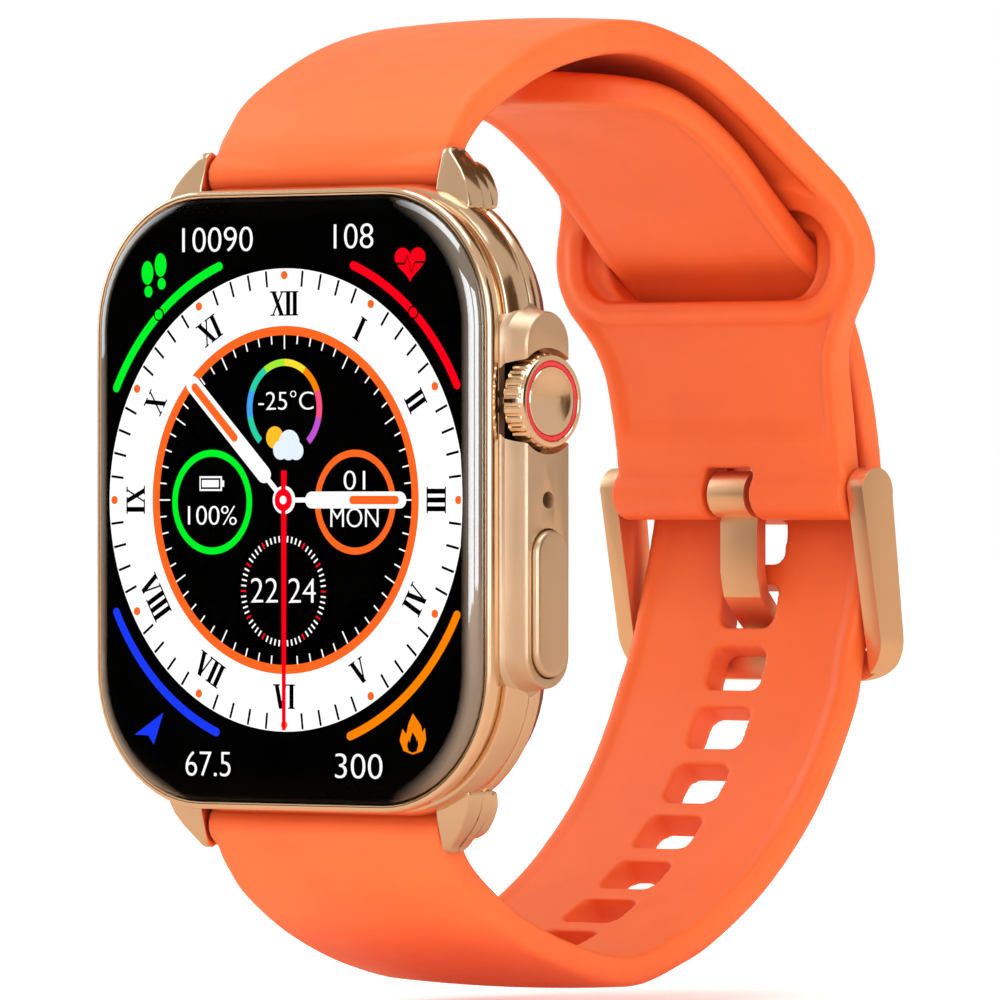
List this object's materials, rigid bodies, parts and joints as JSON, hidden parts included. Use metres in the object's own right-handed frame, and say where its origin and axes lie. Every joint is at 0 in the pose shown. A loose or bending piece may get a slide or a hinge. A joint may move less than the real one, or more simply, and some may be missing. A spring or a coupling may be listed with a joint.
{
  "type": "running watch",
  "caption": "Running watch with a cushion-shaped metal case, round dial screen, turning crown, side button and a buckled silicone strap with quick-release bars.",
  "frame": {"origin": "middle of the sensor window's flat outer face, which rests on the wrist", "axes": "+Y out of the case's back towards the wrist, +Z towards twelve o'clock, +X towards the crown"},
  "size_m": [0.0398, 0.0573, 0.0699],
  "materials": {
    "case_metal": "polished",
    "bezel_metal": "polished",
    "button_metal": "satin",
    "buckle_metal": "satin",
    "crown_red": "gloss",
    "glass": "polished",
    "display": "gloss",
    "adhesive": "matte",
    "gasket": "satin",
    "steel": "satin",
    "board": "satin",
    "flex": "satin",
    "cell": "satin",
    "ceramic": "matte",
    "black_plastic": "satin",
    "nylon": "satin",
    "gold_plate": "polished",
    "sensor_glass": "gloss",
    "led": "gloss",
    "strap_silicone": "satin"
  },
  "bodies": {
    "case": {"mid_frame": "case_metal", "bezel_ring": "bezel_metal", "cover_glass": "glass", "glass_adhesive": "adhesive", "display_panel": "display", "display_backplate": "steel", "display_flex": "flex", "main_board": "board", "shield_can": "steel", "battery": "cell", "antenna_strip": "ceramic", "vibration_motor": "steel", "speaker": "black_plastic", "microphone": "gold_plate", "mic_mesh": "steel", "crown_tube": "steel", "crown_switch": "black_plastic", "button_switch": "black_plastic", "back_gasket": "gasket", "back_cover": "black_plastic", "sensor_window": "sensor_glass", "sensor_board": "board", "optical_sensors": "led", "charging_contacts": "gold_plate", "back_screws": "steel"},
    "crown_slider": {"crown_push_plate": "nylon"},
    "crown": {"crown_knob": "bezel_metal", "crown_ring": "crown_red", "crown_cap": "bezel_metal", "crown_shaft": "steel", "crown_seals": "gasket", "crown_circlip": "steel"},
    "side_button": {"side_button": "button_metal", "button_stems": "steel", "button_seals": "gasket", "button_clips": "steel"},
    "upper_strap": {"upper_strap": "strap_silicone", "upper_bar": "steel", "buckle_bar": "buckle_metal"},
    "upper_release": {"upper_release_pin": "steel"},
    "lower_strap": {"lower_strap": "strap_silicone", "lower_bar": "steel"},
    "lower_release": {"lower_release_pin": "steel"},
    "buckle": {"buckle_frame": "buckle_metal"},
    "prong": {"buckle_prong": "buckle_metal"}
  },
  "joints": [
    {"name": "crown_press", "type": "slide", "parent": "case", "child": "crown_slider", "axis": [-1, 0, 0], "range_m": [0, 0.0004], "stiffness_N_per_m": 2000},
    {"name": "crown_spin", "type": "hinge", "parent": "crown_slider", "child": "crown", "pos_m": [0.019, -0.0067, 0.00695], "axis": [1, 0, 0], "continuous": true},
    {"name": "button_press", "type": "slide", "parent": "case", "child": "side_button", "axis": [-1, 0, 0], "range_m": [0, 0.00035], "stiffness_N_per_m": 2000},
    {"name": "upper_strap_hinge", "type": "hinge", "parent": "case", "child": "upper_strap", "pos_m": [0, -0.0057, 0.0234], "axis": [1, 0, 0], "range_deg": [-0.15, 0.15], "stiffness_Nm_per_rad": 5},
    {"name": "lower_strap_hinge", "type": "hinge", "parent": "case", "child": "lower_strap", "pos_m": [0, -0.0057, -0.0234], "axis": [1, 0, 0], "range_deg": [-0.15, 0.15], "stiffness_Nm_per_rad": 5},
    {"name": "upper_bar_release", "type": "slide", "parent": "upper_strap", "child": "upper_release", "axis": [-1, 0, 0], "range_m": [0, 0.0015], "stiffness_N_per_m": 800},
    {"name": "lower_bar_release", "type": "slide", "parent": "lower_strap", "child": "lower_release", "axis": [-1, 0, 0], "range_m": [0, 0.0015], "stiffness_N_per_m": 800},
    {"name": "buckle_tilt", "type": "hinge", "parent": "upper_strap", "child": "buckle", "pos_m": [0, 0.04045, 0.0004], "axis": [1, 0, 0], "range_deg": [0, 1]},
    {"name": "prong_tilt", "type": "hinge", "parent": "upper_strap", "child": "prong", "pos_m": [0, 0.04045, 0.0004], "axis": [1, 0, 0], "range_deg": [0, 1]}
  ],
  "couplings": [
    {"joint": "lower_strap_hinge", "follows": "upper_strap_hinge", "ratio": 1},
    {"joint": "prong_tilt", "follows": "buckle_tilt", "ratio": 1}
  ]
}
